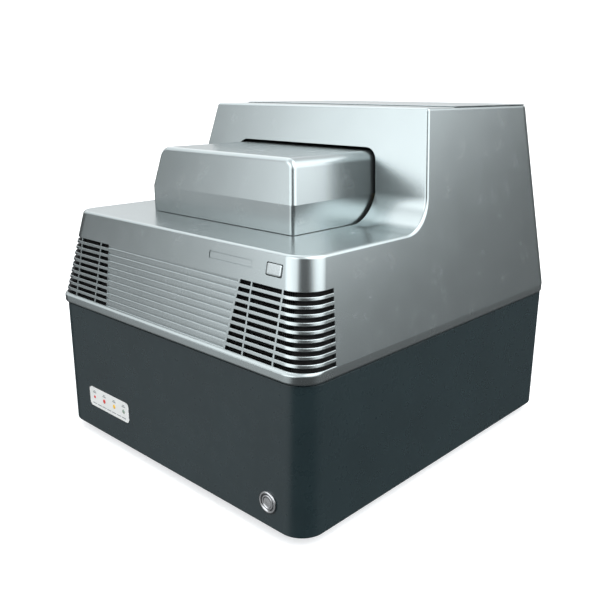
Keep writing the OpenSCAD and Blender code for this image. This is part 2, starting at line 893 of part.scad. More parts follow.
// Mains inlet with its three flat pins and the fuse holder
module mains_inlet() {
    y = panel_y + panel_t;
    color("#1f2123") union() {
        difference() {
            union() {
                block([inlet_x - 16, y, 36], [inlet_x + 16, y + 3, 88]);
                block([inlet_x - 14, 196, 38], [inlet_x + 14, y, 86]);
            }
            block([inlet_x - 12, y - 15, 42], [inlet_x + 12, y + 5, 58.5]);
            block([inlet_x - 12, y - 20, 68], [inlet_x + 12, y + 5, 80]);
        }
        for (p = [[-7, 48], [7, 48], [0, 52.5]])
            block([inlet_x + p[0] - 1, y - 16, p[1] - 2], [inlet_x + p[0] + 1, y - 2.5, p[1] + 2]);
    }
}

// Fuse drawer with two cartridge fuses
module fuse_drawer() {
    y = panel_y + panel_t;
    color("#2a2c2e") union() {
        difference() {
            block([inlet_x - 11.8, y - 19, 68.2], [inlet_x + 11.8, y + 3.4, 79.8]);
            for (k = [0, 1])
                block([inlet_x - 10.2, y - 17 + k * 8, 73], [inlet_x + 10.2, y - 11.4 + k * 8, 81]);
        }
        for (k = [0, 1]) translate([inlet_x - 10.2, y - 14.2 + k * 8, 75.8]) rotate([0, 90, 0])
            cylinder(r = 2.7, h = 20.4);
    }
}

// Square data socket
module data_port() {
    y = panel_y + panel_t;
    color("#c4c7c9") union() {
        difference() {
            block([port_x - 6, 206, 44], [port_x + 6, y + 2, 55]);
            block([port_x - 4.2, 212, 45.6], [port_x + 4.2, y + 5, 53.4]);
        }
        block([port_x - 2.8, 211, 48], [port_x + 2.8, y, 51]);
    }
}

// Screws of the rear panel and the fan
module panel_screws() {
    y = panel_y + panel_t;
    color("#8a8d90") for (x = [-41, 41], z = [-41, 41])
        translate([exhaust_x + x, y, exhaust_z + z]) rotate([-90, 0, 0]) union() {
            translate([0, 0, 1.8]) cylinder(r = 3.6, h = 1.6);
            translate([0, 0, -20]) cylinder(r = 2, h = 22);
        }
}

lower_housing();
upper_housing();
top_cover();
rear_panel();
base_plate();
rubber_feet();
rear_bumpers();
vent_mesh_left();
vent_mesh_right();
nameplate_insert();
lid_button();
lid_button_switch();
power_button_bezel();
power_button();
power_button_nut();
status_panel();
fault_lens();
lid_lens();
run_lens();
ready_lens();
indicator_board();
hood_shell();
hood_frame();
rail_bearings();
screw_nut();
hot_lid_plate();
hot_lid_heater();
hot_lid_carrier();
press_springs();
press_actuators();
press_rods();
optics_shuttle();
shuttle_rods();
shuttle_screw();
shuttle_motor();
guide_rails();
lead_screw();
screw_coupling();
screw_supports();
hood_motor();
tower_floor();
chassis_frame();
sample_block();
block_bezel();
block_gasket();
peltier_modules();
heat_sink();
air_duct();
sink_fan_frames();
sink_fan_rotor_left();
sink_fan_rotor_right();
exhaust_fan_frame();
exhaust_fan_rotor();
exhaust_guard();
power_supply();
main_board();
mains_inlet();
fuse_drawer();
data_port();
panel_screws();
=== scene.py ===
"""Looks of a bench thermal cycler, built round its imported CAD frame.

Shapes are worked out in millimetres, with the front at -Y and the table at Z = 0, and turned
into metres when a mesh is made.
"""
import math

import bmesh
import bpy
from mathutils import Matrix, Vector


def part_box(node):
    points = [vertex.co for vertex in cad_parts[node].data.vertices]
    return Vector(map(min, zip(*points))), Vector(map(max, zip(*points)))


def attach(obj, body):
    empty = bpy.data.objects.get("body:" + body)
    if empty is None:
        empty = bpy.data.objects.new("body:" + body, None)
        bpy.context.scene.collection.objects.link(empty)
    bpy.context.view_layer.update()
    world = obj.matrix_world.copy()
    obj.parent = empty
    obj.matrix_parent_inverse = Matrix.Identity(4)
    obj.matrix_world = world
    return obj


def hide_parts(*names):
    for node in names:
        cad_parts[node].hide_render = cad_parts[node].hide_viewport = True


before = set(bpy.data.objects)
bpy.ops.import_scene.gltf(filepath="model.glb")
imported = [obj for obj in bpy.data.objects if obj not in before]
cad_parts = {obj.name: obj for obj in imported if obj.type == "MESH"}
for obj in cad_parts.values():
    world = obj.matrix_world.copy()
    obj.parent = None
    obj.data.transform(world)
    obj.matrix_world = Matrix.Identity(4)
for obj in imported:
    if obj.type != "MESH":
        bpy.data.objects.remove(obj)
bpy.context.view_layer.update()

MM = 0.001
FAR = 400.0             # past every wall
FRONT_CUT = -260.0      # where a cut through the front wall starts
REAR_CUT = 200.0        # where a cut through a rear wall starts


def box_mm(node):
    """Lowest and highest corners of a CAD node, in millimetres."""
    lo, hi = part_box(node)
    return Vector(lo) / MM, Vector(hi) / MM


# ---------------------------------------------------------------- sizes

lower_lo, lower_hi = box_mm("lower_housing")
upper_lo, upper_hi = box_mm("upper_housing")
hood_lo, hood_hi = box_mm("hood_shell")
cover_lo, cover_hi = box_mm("top_cover")

BODY_HALF = lower_hi.x
BODY_FRONT = lower_lo.y
BODY_REAR = lower_hi.y
BODY_R = 26.0
UPPER_R = BODY_R - 1
LOWER_WALL = 3.5
SEAM_Z = lower_hi.z
SEAM_GAP = 0.8
SEAM_DEPTH = 1.2

UPPER_HALF = upper_hi.x
UPPER_REAR = upper_hi.y
LIP_FRONT = upper_lo.y
LIP_TOP = SEAM_Z + 9.0
LIP_ROUND = 3.0
LEAN_Z = SEAM_Z + 10.0
FRONT_SLOPE = 0.2075        # how far a wall leans inwards for each unit of height above LEAN_Z
SIDE_SLOPE = 0.188
REAR_SLOPE = 0.03
WALL = 3.0
DECK_Z = box_mm("block_bezel")[1].z
TOWER_Z = upper_hi.z
TOWER_SLOPE = 0.214
TOWER_TILT = math.atan(TOWER_SLOPE)
TOWER_Y = -29.6
COVE_R = 40.0
FRONT_TILT = math.atan(FRONT_SLOPE)

HOOD_X = (hood_lo.x + hood_hi.x) / 2
HOOD_HALF = (hood_hi.x - hood_lo.x) / 2
HOOD_FRONT = hood_lo.y
HOOD_REAR = hood_hi.y
HOOD_BOTTOM = hood_lo.z
HOOD_TOP = hood_hi.z
HOOD_LEAN = 0.2
HOOD_R = 12.0
HOOD_WALL = 3.0
HOOD_GAP = 3.5
CREASE_Z = 296.5

VENT_ROWS = 10      # slots in each vent, and grooves between the vents
VENT_PITCH = 6.9
SLOT_H = 3.7
VENT_TOP = 237.4
VENT_LOW = VENT_TOP - VENT_PITCH * (VENT_ROWS - 1) - SLOT_H
VENT_RIBS = (122.5, 161.5)
RIB_T = 2.0

REAR_ROWS = 8
REAR_PITCH = 8.0
REAR_LOW = 301.75
REAR_SLOT = (70, 1.75)      # half length and half height

POWER_X, POWER_Z = 155.5, 36.0
LID_BUTTON_X, LID_BUTTON_Z = 148.0, 252.5
NAMEPLATE_X, NAMEPLATE_Z = 89.75, 253.0
STATUS_X, STATUS_Z = -108.0, 52.0
REAR_OPENING_Z = 86.0
WINDOW_Y = -92.0        # middle of the hole in the deck over the block

# Half sizes of what is let into the walls, and of the holes that take them
POWER_HOLE_R = 9.6
LID_BUTTON_HALF, LID_BUTTON_HOLE = (9.35, 5.35), (10.0, 6.0)
NAMEPLATE_HALF, NAMEPLATE_RECESS = (28.7, 3.0), (29.25, 3.5)
STATUS_HALF, STATUS_RECESS = (40, 12), (40.2, 12.2)
REAR_OPENING_HALF = (170, 62)
WINDOW_HALF = (68, 47)
TRAY_HALF, TRAY_REAR = 122.0, -8.0

LENSES = {      # place along the panel, radius and colour
    "fault_lens": (-29.5, 1.8, "red_lens"),
    "lid_lens": (-9.5, 2.5, "red_lens"),
    "run_lens": (11.0, 2.5, "yellow_lens"),
    "ready_lens": (30.0, 2.5, "green_lens"),
}
LENS_PLAY = 0.05        # gap round a lens in the label


def front_y(z):
    return BODY_FRONT + FRONT_SLOPE * (z - LEAN_Z)


def side_x(z):
    return UPPER_HALF - SIDE_SLOPE * max(z - LEAN_Z, 0)


def rear_y(z):
    return UPPER_REAR - REAR_SLOPE * (z - LEAN_Z)


def tower_front(z):
    return TOWER_Y + TOWER_SLOPE * (z - DECK_Z)


COVE_Z = DECK_Z + COVE_R
COVE_Y = tower_front(COVE_Z) - COVE_R / math.cos(TOWER_TILT)


# ---------------------------------------------------------------- outlines

def arc(centre, radius, start, end, steps):
    """Points on an arc, from one angle to another in degrees."""
    angles = [math.radians(start + (end - start) * k / steps) for k in range(steps + 1)]
    return [(centre[0] + radius * math.cos(a), centre[1] + radius * math.sin(a)) for a in angles]


def rounded_rect(lo, hi, radius, steps=8):
    """Rectangle with rounded corners, anticlockwise."""
    corners = (
        (hi[0] - radius, lo[1] + radius, -90),
        (hi[0] - radius, hi[1] - radius, 0),
        (lo[0] + radius, hi[1] - radius, 90),
        (lo[0] + radius, lo[1] + radius, 180),
    )
    points = []
    for x, y, start in corners:
        points += arc((x, y), radius, start, start + 90, steps)
    return points


def around(centre, half, radius, steps=8):
    """Rounded rectangle given by its centre and half sizes."""
    lo = (centre[0] - half[0], centre[1] - half[1])
    hi = (centre[0] + half[0], centre[1] + half[1])
    return rounded_rect(lo, hi, radius, steps)


def mirrored(points):
    """A half outline followed by its mirror image, which closes it about the first axis."""
    return points + [(-x, y) for x, y in reversed(points)]


# ---------------------------------------------------------------- meshes

def make_object(name, bm, material=None):
    """Object from a bmesh, which is used up."""
    bmesh.ops.recalc_face_normals(bm, faces=bm.faces)
    mesh = bpy.data.meshes.new(name)
    bm.to_mesh(mesh)
    bm.free()
    obj = bpy.data.objects.new(name, mesh)
    bpy.context.scene.collection.objects.link(obj)
    if material:
        mesh.materials.append(material)
    return obj


def add_loft(bm, rings, closed=False, inner=()):
    """Skin over rings of points in millimetres, with flat ends unless the last ring meets the first.

    Strips of the skin whose number is in inner get the object's second material.
    """
    rows = [[bm.verts.new(Vector(p) * MM) for p in ring] for ring in rings]
    pairs = list(zip(rows, rows[1:]))
    if closed:
        pairs.append((rows[-1], rows[0]))
    for low, high in pairs:
        for k in range(len(low)):
            n = (k + 1) % len(low)
            face = bm.faces.new((low[k], low[n], high[n], high[k]))
            face.material_index = int(k in inner)
    if not closed:
        bm.faces.new(list(reversed(rows[0])))
        bm.faces.new(rows[-1])


def loft(name, rings, material=None):
    bm = bmesh.new()
    add_loft(bm, rings)
    return make_object(name, bm, material)


PLANES = {
    "xy": lambda a, b, depth: (a, b, depth),
    "xz": lambda a, b, depth: (a, depth, b),
    "yz": lambda a, b, depth: (depth, a, b),
}


def add_prism(bm, outline, plane, lo, hi):
    place = PLANES[plane]
    add_loft(bm, [[place(a, b, depth) for a, b in outline] for depth in (lo, hi)])


def prism(name, outline, plane, lo, hi, material=None):
    """An outline drawn in one plane, given a thickness along the third axis."""
    bm = bmesh.new()
    add_prism(bm, outline, plane, lo, hi)
    return make_object(name, bm, material)


def add_block(bm, lo, hi):
    outline = [(lo[0], lo[1]), (hi[0], lo[1]), (hi[0], hi[1]), (lo[0], hi[1])]
    add_prism(bm, outline, "xy", lo[2], hi[2])


def block(name, lo, hi, material=None):
    bm = bmesh.new()
    add_block(bm, lo, hi)
    return make_object(name, bm, material)


def add_lathe(bm, profile, steps=48):
    """Turns (radius, height) points about Z. A radius of 0 closes the end on a point."""
    rings = []
    for radius, height in profile:
        if radius == 0:
            rings.append([bm.verts.new(Vector((0, 0, height)) * MM)])
            continue
        angles = [2 * math.pi * k / steps for k in range(steps)]
        rings.append([bm.verts.new(Vector((radius * math.cos(a), radius * math.sin(a), height)) * MM)
                      for a in angles])
    for low, high in zip(rings, rings[1:]):
        for k in range(steps):
            n = (k + 1) % steps
            corners = [low[k % len(low)], low[n % len(low)], high[n % len(high)], high[k % len(high)]]
            face = list(dict.fromkeys(corners))
            if len(face) > 2:
                bm.faces.new(face)


def lathe(name, profile, at, toward="+z", material=None, steps=48):
    """Solid of revolution at a point, with its height along +Z, -Y or +Y."""
    bm = bmesh.new()
    add_lathe(bm, profile, steps)
    turn = math.radians({"+z": 0, "-y": 90, "+y": -90}[toward])
    place = Matrix.Translation(Vector(at) * MM) @ Matrix.Rotation(turn, 4, "X")
    bmesh.ops.transform(bm, verts=bm.verts, matrix=place)
    return make_object(name, bm, material)


def add_tube(bm, path, radius, sides=8, closed=False):
    """Round bar along a path of points."""
    path = [Vector(p) for p in path]
    count = len(path)
    rings = []
    side = None
    for k, point in enumerate(path):
        if closed:
            along = path[(k + 1) % count] - path[k - 1]
        else:
            along = path[min(k + 1, count - 1)] - path[max(k - 1, 0)]
        along.normalize()
        if side is None:
            side = along.orthogonal()
        side = (side - along * side.dot(along)).normalized()
        other = along.cross(side)
        angles = [2 * math.pi * s / sides for s in range(sides)]
        rings.append([point + radius * (math.cos(a) * side + math.sin(a) * other) for a in angles])
    add_loft(bm, rings, closed)


def baked(obj):
    """Turns an object's modifiers into its mesh."""
    graph = bpy.context.evaluated_depsgraph_get()
    mesh = bpy.data.meshes.new_from_object(obj.evaluated_get(graph), depsgraph=graph)
    old = obj.data
    obj.modifiers.clear()
    obj.data = mesh
    bpy.data.meshes.remove(old)
    mesh.name = obj.name
    return obj


def combined(obj, tools, operation="DIFFERENCE"):
    """Cuts, joins or intersects an object with each tool in turn, and removes the tools."""
    for tool in tools:
        step = obj.modifiers.new("combine", "BOOLEAN")
        step.operation = operation
        step.solver = "EXACT"
        step.material_mode = "TRANSFER"
        step.object = tool
        baked(obj)
        mesh = tool.data
        bpy.data.objects.remove(tool)
        bpy.data.meshes.remove(mesh)
    return obj


def rounded(obj, width, segments=4, angle=30):
    """Rounds the edges that turn by more than an angle."""
    step = obj.modifiers.new("round", "BEVEL")
    step.width = width * MM
    step.segments = segments
    step.limit_method = "ANGLE"
    step.angle_limit = math.radians(angle)
    step.use_clamp_overlap = False
    return baked(obj)


def shaded(obj, angle=32, crease=None):
    """Smooth shading that keeps real corners, and edges at the height of a crease, crisp."""
    bm = bmesh.new()
    bm.from_mesh(obj.data)
    bmesh.ops.remove_doubles(bm, verts=bm.verts, dist=1e-6)
    bmesh.ops.dissolve_degenerate(bm, edges=bm.edges, dist=1e-6)
    limit = math.radians(angle)
    for face in bm.faces:
        face.smooth = True
    for edge in bm.edges:
        creased = crease and all(abs(vert.co.z - crease * MM) < 1e-5 for vert in edge.verts)
        edge.smooth = not creased and len(edge.link_faces) == 2 and edge.calc_face_angle(0) < limit
    bm.to_mesh(obj.data)
    bm.free()
    weigh = obj.modifiers.new("weigh", "WEIGHTED_NORMAL")
    weigh.keep_sharp = True
    return obj


def piece(obj, body, slot, *nodes, angle=32, crease=None):
    """A finished piece: shaded, riding on a body, and standing for CAD nodes if any are named."""
    shaded(obj, angle, crease)
    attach(obj, body)
    if nodes:
        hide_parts(*nodes)
    return obj


# ---------------------------------------------------------------- materials

def linear(red, green, blue):
    """Linear colour from display values of 0 to 255."""
    return tuple((v / 255) ** 2.2 for v in (red, green, blue)) + (1.0,)


def lighter(colour, factor):
    return tuple(min(v * factor, 1.0) for v in colour[:3]) + (1.0,)


class Finish:
    """A material with one Principled shader, whose inputs come from procedural nodes."""

    def __init__(self, name, **inputs):
        self.material = bpy.data.materials.new(name)
        self.material.use_nodes = True
        self.tree = self.material.node_tree
        self.shader = self.tree.nodes["Principled BSDF"]
        self.place = self.node("ShaderNodeTexCoord").outputs["Object"]
        self.set(**inputs)

    def node(self, kind, inputs=None, **settings):
        node = self.tree.nodes.new(kind)
        for key, value in settings.items():
            setattr(node, key, value)
        for key, value in (inputs or {}).items():
            self.feed(node.inputs[key], value)
        return node

    def feed(self, socket, value):
        if isinstance(value, bpy.types.NodeSocket):
            self.tree.links.new(value, socket)
        else:
            socket.default_value = value

    def set(self, **inputs):
        for key, value in inputs.items():
            self.feed(self.shader.inputs[key.replace("_", " ")], value)

    def stretched(self, x, y, z):
        return self.node("ShaderNodeMapping", {"Vector": self.place, "Scale": (x, y, z)}).outputs["Vector"]

    def noise(self, size, detail=3.0, place=None):
        """Cloudy pattern from 0 to 1 with features of about a size in millimetres."""
        inputs = {"Vector": place or self.place, "Scale": 1 / (size * MM), "Detail": detail}
        return self.node("ShaderNodeTexNoise", inputs).outputs["Fac"]

    def cells(self, size, output="Distance"):
        inputs = {"Vector": self.place, "Scale": 1 / (size * MM)}
        return self.node("ShaderNodeTexVoronoi", inputs).outputs[output]

    def spread(self, value, lo, hi, out_lo=0.0, out_hi=1.0):
        inputs = {"Value": value, "From Min": lo, "From Max": hi, "To Min": out_lo, "To Max": out_hi}
        return self.node("ShaderNodeMapRange", inputs).outputs["Result"]

    def mixed(self, amount, a, b):
        node = self.node("ShaderNodeMix", data_type="RGBA")
        sockets = {s.identifier: s for s in node.inputs}
        self.feed(sockets["Factor_Float"], amount)
        self.feed(sockets["A_Color"], a)
        self.feed(sockets["B_Color"], b)
        return {s.identifier: s for s in node.outputs}["Result_Color"]

    def maths(self, a, b, operation="ADD"):
        return self.node("ShaderNodeMath", {0: a, 1: b}, operation=operation).outputs["Value"]

    def soft_edges(self, radius):
        """Normal that is rounded over edges, for the corners that are too small to bevel."""
        return self.node("ShaderNodeBevel", {"Radius": radius * MM}, samples=4).outputs["Normal"]

    def edge_mask(self, normal):
        """1 along edges and 0 on flats."""
        true_normal = self.node("ShaderNodeNewGeometry").outputs["Normal"]
        turn = self.node("ShaderNodeVectorMath", {0: normal, 1: true_normal}, operation="DOT_PRODUCT")
        return self.spread(turn.outputs["Value"], 0.995, 0.85)

    def bump(self, height, distance, normal=None, strength=1.0):
        inputs = {"Height": height, "Distance": distance * MM, "Strength": strength}
        if normal:
            inputs["Normal"] = normal
        return self.node("ShaderNodeBump", inputs).outputs["Normal"]


def paint(name, colour, metallic, roughness, coat, flake=0.04, edge=0.35):
    """Sprayed paint: a slight orange peel, fine flakes and edges painted a little lighter, partly as wear
    and partly as a painted highlight.
    """
    finish = Finish(name, Metallic=metallic, Coat_Weight=coat, Coat_Roughness=0.12)
    normal = finish.soft_edges(edge)
    cloud = finish.noise(90, 4)
    speck = finish.noise(0.35, 2)
    flakes = finish.spread(speck, 0.35, 0.65, -0.15, 0.15)
    tint = finish.maths(finish.spread(cloud, 0.3, 0.7, 0.25, 0.6), flakes)
    base = finish.mixed(tint, lighter(colour, 1 - flake * 2), lighter(colour, 1 + flake))
    edge_patches = finish.spread(finish.noise(6, 4), 0.35, 0.7, 0.0, 0.5)
    # Lighter edges are partly wear and partly a painted highlight along every edge.
    wear_and_highlight = finish.maths(finish.edge_mask(normal), edge_patches, "MULTIPLY")
    finish.set(Base_Color=finish.mixed(wear_and_highlight, base, lighter(colour, 1.25)))
    uneven = finish.maths(finish.noise(25, 5), speck)
    finish.set(Roughness=finish.spread(uneven, 0.6, 1.4, roughness - 0.02, roughness + 0.03))
    peel = finish.maths(finish.noise(2.2, 2), finish.maths(speck, 0.25, "MULTIPLY"))
    finish.set(Normal=finish.bump(peel, 0.003, normal))
    return finish.material


def moulded(name, colour, roughness, grain=0.7, depth=0.012, edge=0.3):
    """Moulded plastic with an etched grain, and edges painted lighter, partly as wear and partly as a
    painted highlight.
    """
    finish = Finish(name, Specular_IOR_Level=0.45)
    normal = finish.soft_edges(edge)
    etched = finish.cells(grain)
    cloud = finish.noise(60, 4)
    base = finish.mixed(finish.spread(cloud, 0.3, 0.7), lighter(colour, 0.92), lighter(colour, 1.07))
    edge_patches = finish.spread(finish.noise(5, 4), 0.4, 0.7, 0.0, 0.5)
    # Lighter edges are partly wear and partly a painted highlight along every edge.
    wear_and_highlight = finish.maths(finish.edge_mask(normal), edge_patches, "MULTIPLY")
    finish.set(Base_Color=finish.mixed(wear_and_highlight, base, lighter(colour, 1.5)))
    finish.set(Roughness=finish.spread(finish.noise(12, 4), 0.3, 0.7, roughness - 0.06, roughness + 0.06))
    finish.set(Normal=finish.bump(etched, depth, normal))
    return finish.material


def metal(name, colour, roughness, brushed=(1, 1, 1), size=0.6, depth=0.008, edge=0.25):
    """Bare metal. The larger a component of brushed, the finer the pattern along that axis."""
    finish = Finish(name, Metallic=1.0)
    normal = finish.soft_edges(edge)
    lines = finish.noise(size, 3, finish.stretched(*brushed))
    smear = finish.noise(30, 5)
    base = finish.mixed(finish.spread(smear, 0.3, 0.7), lighter(colour, 0.88), lighter(colour, 1.05))
    scored = finish.spread(lines, 0.35, 0.65, 0.0, 0.35)
    finish.set(Base_Color=finish.mixed(scored, base, lighter(colour, 0.8)))
    smeared = finish.spread(smear, 0.3, 0.7, -0.04, 0.05)
    rough = finish.maths(finish.spread(lines, 0.3, 0.7, -0.06, 0.06), smeared)
    finish.set(Roughness=finish.maths(rough, roughness))
    finish.set(Normal=finish.bump(lines, depth, normal))
    return finish.material


def rubber_finish(name, colour):
    """Matt rubber with dust on it."""
    finish = Finish(name, Specular_IOR_Level=0.3)
    dust = finish.spread(finish.noise(4, 5), 0.5, 0.75, 0.0, 0.6)
    finish.set(Base_Color=finish.mixed(dust, colour, lighter(colour, 1.9)))
    finish.set(Roughness=finish.spread(finish.noise(8), 0.3, 0.7, 0.75, 0.92))
    finish.set(Normal=finish.bump(finish.noise(0.7, 4), 0.05, finish.soft_edges(0.5)))
    return finish.material


def lens_finish(name, colour, glow):
    """Tinted light pipe with a moulded pattern inside."""
    finish = Finish(name, IOR=1.49, Coat_Weight=1.0, Coat_Roughness=0.05, Subsurface_Weight=0.3,
                    Subsurface_Scale=1.5 * MM)
    facets = finish.cells(0.7)
    depth = finish.spread(facets, 0.0, 0.7)
    finish.set(Base_Color=finish.mixed(depth, lighter(colour, 1.25), lighter(colour, 0.75)))
    finish.set(Emission_Color=colour, Emission_Strength=glow)
    finish.set(Roughness=finish.spread(facets, 0, 0.7, 0.15, 0.3))
    finish.set(Normal=finish.bump(facets, 0.05))
    return finish.material


def board_finish(name, colour):
    """Green board with copper tracks under the lacquer."""
    finish = Finish(name, Coat_Weight=0.5, Coat_Roughness=0.2)
    tracks = finish.node("ShaderNodeTexBrick", {
        "Vector": finish.place, "Scale": 1 / (6 * MM), "Mortar Size": 0.06, "Mortar Smooth": 0.2,
        "Brick Width": 1.7, "Row Height": 0.55}, offset=0.37).outputs["Fac"]
    pads = finish.spread(finish.cells(3.4), 0.12, 0.16, 1.0, 0.0)
    base = finish.mixed(finish.spread(tracks, 0, 1, 0, 0.7), colour, lighter(colour, 2.2))
    finish.set(Base_Color=finish.mixed(pads, base, linear(190, 178, 140)))
    finish.set(Metallic=finish.maths(pads, 0.8, "MULTIPLY"))
    finish.set(Roughness=finish.spread(finish.noise(8), 0.3, 0.7, 0.3, 0.45))
    finish.set(Normal=finish.bump(tracks, 0.03, finish.soft_edges(0.3)))
    return finish.material


def label_finish(name, colour):
    """Printed polyester sheet with a fine surface texture."""
    finish = Finish(name, Specular_IOR_Level=0.5)
    fibre = finish.noise(0.5, 3)
    cloud = finish.noise(25, 3)
    finish.set(Base_Color=finish.mixed(finish.spread(cloud, 0.3, 0.7), lighter(colour, 0.94), colour))
    finish.set(Roughness=finish.spread(fibre, 0.3, 0.7, 0.36, 0.5))
    finish.set(Normal=finish.bump(fibre, 0.015, finish.soft_edges(0.2)))
    return finish.material


def ceramic_finish(name, colour):
    """Chalky insulation or ceramic with darker specks."""
    finish = Finish(name)
    specks = finish.spread(finish.cells(0.9), 0.0, 0.25, 1.0, 0.0)
    amount = finish.maths(specks, 0.35, "MULTIPLY")
    finish.set(Base_Color=finish.mixed(amount, colour, lighter(colour, 0.6)))
    finish.set(Roughness=finish.spread(finish.noise(3), 0.3, 0.7, 0.5, 0.65))
    finish.set(Normal=finish.bump(finish.noise(0.8), 0.02, finish.soft_edges(0.2)))
    return finish.material


SILVER = linear(170, 179, 180)
MATERIALS = {
    "silver_paint": paint("silver_paint", SILVER, 0.94, 0.25, 0.12),
    "slate_paint": moulded("slate_paint", linear(40, 52, 55), 0.3, 0.8, 0.006),
    "inner_plastic": moulded("inner_plastic", linear(30, 32, 34), 0.75),
    "sheet_steel": metal("sheet_steel", linear(150, 153, 156), 0.42, (1, 1, 12)),
    "black_mesh": moulded("black_mesh", linear(14, 15, 16), 0.8, 0.5, 0.01),
    "steel": metal("steel", linear(190, 192, 194), 0.28, (12, 12, 1)),
    "aluminium": metal("aluminium", linear(196, 198, 201), 0.36, (1, 1, 1), 0.4, 0.012),
    "dark_plastic": moulded("dark_plastic", linear(32, 34, 37), 0.5),
    "silver_plastic": paint("silver_plastic", linear(182, 190, 191), 0.8, 0.27, 0.2, 0.015),
    "label": label_finish("label", linear(236, 238, 236)),
    "red_lens": lens_finish("red_lens", linear(206, 34, 26), 0.25),
    "yellow_lens": lens_finish("yellow_lens", linear(232, 186, 44), 0.25),
    "green_lens": lens_finish("green_lens", linear(138, 164, 148), 0.1),
    "rubber": rubber_finish("rubber", linear(26, 27, 28)),
    "circuit_board": board_finish("circuit_board", linear(24, 84, 48)),
    "brass": metal("brass", linear(196, 158, 86), 0.3, (1, 10, 1)),
    "print_ink": label_finish("print_ink", linear(128, 134, 136)),
    "heater_film": label_finish("heater_film", linear(176, 98, 34)),
    "insulation": ceramic_finish("insulation", linear(214, 208, 192)),
    "ceramic": ceramic_finish("ceramic", linear(228, 228, 222)),
}


def finish_nodes():
    """Gives every CAD node the detailed material of its slot."""
    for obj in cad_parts.values():
        for holder in obj.material_slots:
            name = holder.material.name.split(".")[0]
            if name in MATERIALS:
                holder.material = MATERIALS[name]


# ---------------------------------------------------------------- upper housing

CORNER_STEPS = 24


def housing_ring(z, half, front, rear, radius):
    return [(x, y, z) for x, y in rounded_rect((-half, front), (half, rear), radius, CORNER_STEPS)]


def upper_ring(z, inset=0.0):
    return housing_ring(z, side_x(z) - inset, front_y(z) + inset, rear_y(z) - inset, UPPER_R - inset)


def upper_solid():
    """Outside of the upper housing: rolled lip, soft step and leaning walls, up to the tower's top."""
    rings = []
    for k in range(6):
        turn = math.radians(90 * k / 5)
        inset = LIP_ROUND * (1 - math.sin(turn))
        z = SEAM_Z + LIP_ROUND * (1 - math.cos(turn))
        front, rear = LIP_FRONT + inset, UPPER_REAR - inset
        rings.append(housing_ring(z, UPPER_HALF - inset, front, rear, BODY_R - inset))
    blend_from, blend_to = LIP_TOP - 0.6, LIP_TOP + 2.4
    for k in range(6):
        share = k / 5
        soft = share * share * (3 - 2 * share)
        z = blend_from + (blend_to - blend_from) * share
        rings.append(housing_ring(
            z, UPPER_HALF + (side_x(z) - UPPER_HALF) * soft, LIP_FRONT + (front_y(z) - LIP_FRONT) * soft,
            UPPER_REAR + (rear_y(z) - UPPER_REAR) * soft, BODY_R - soft))
    rings.append(upper_ring(TOWER_Z))
    return loft("upper_housing_shell", rings, MATERIALS["silver_paint"])


def front_space(grow, material=None):
    """The space over the deck and in front of the tower, as a solid."""
    radius = COVE_R + grow
    step = grow / math.cos(TOWER_TILT)
    floor = DECK_Z - grow
    ceiling = TOWER_Z + 100
    outline = [(-FAR, floor)]
    outline += arc((COVE_Y, COVE_Z), radius, -90, -math.degrees(TOWER_TILT), 32)
    outline += [(tower_front(ceiling) + step, ceiling), (-FAR, ceiling)]
    return prism("front_space", outline, "yz", -FAR, FAR, material)


def hood_section(grow, low):
    """Outline of the hood across the object, from a height up."""
    radius = HOOD_R + grow
    lean = math.atan(HOOD_LEAN)
    top = HOOD_TOP + grow
    side = HOOD_HALF + grow
    round_x = side - HOOD_LEAN * (top - radius - CREASE_Z) - radius / math.cos(lean)
    half = [(side, low), (side, CREASE_Z)]
    half += arc((round_x, top - radius), radius, math.degrees(lean), 90, 12)
    return [(HOOD_X + x, z) for x, z in mirrored(half)]


def slot_ends(z):
    """Inner end across the front, and rear end along the side, of the vents at a height."""
    share = (VENT_TOP - z) / (VENT_TOP - VENT_LOW)
    return 107.3 - 8.3 * share, -177.0 - 9.0 * share


def front_at(x):
    return lambda z, out: (x, front_y(z) - out)


def corner_at(degrees):
    """Station on the front corner, turned from the front towards the side."""
    angle = math.radians(degrees - 90)

    def station(z, out):
        x, y = side_x(z) - UPPER_R, front_y(z) + UPPER_R
        reach = UPPER_R + out
        return x + reach * math.cos(angle), y + reach * math.sin(angle)
    return station


def inner_end(z, out):
    return slot_ends(z)[0], front_y(z) - out


def rear_end(z, out):
    return side_x(z) + out, slot_ends(z)[1]


def slot_section():
    """Section of one slot as (outwards, down): rolled slats outside, and a way that falls inwards."""
    lip, deep, fall, clear = 0.5, WALL + 1.5, 0.35, 2.0
    drop = fall * (deep - lip)
    turns = [math.radians(22.5 * k) for k in range(5)]
    section = [(clear, -lip)]
    section += [(lip * (math.sin(a) - 1), lip * (math.cos(a) - 1)) for a in reversed(turns)]
    section += [(-deep, drop), (-deep, SLOT_H + drop)]
    section += [(lip * (math.sin(a) - 1), SLOT_H + lip * (1 - math.cos(a))) for a in turns]
    section.append((clear, SLOT_H + lip))
    return section


# These strips take the dark inner plastic: partly the unpainted plastic inside the wall, partly a painted
# shade that darkens the slots.
SLOT_INSIDE = (5, 6, 7)     # strips of the slot section behind its rolled edges


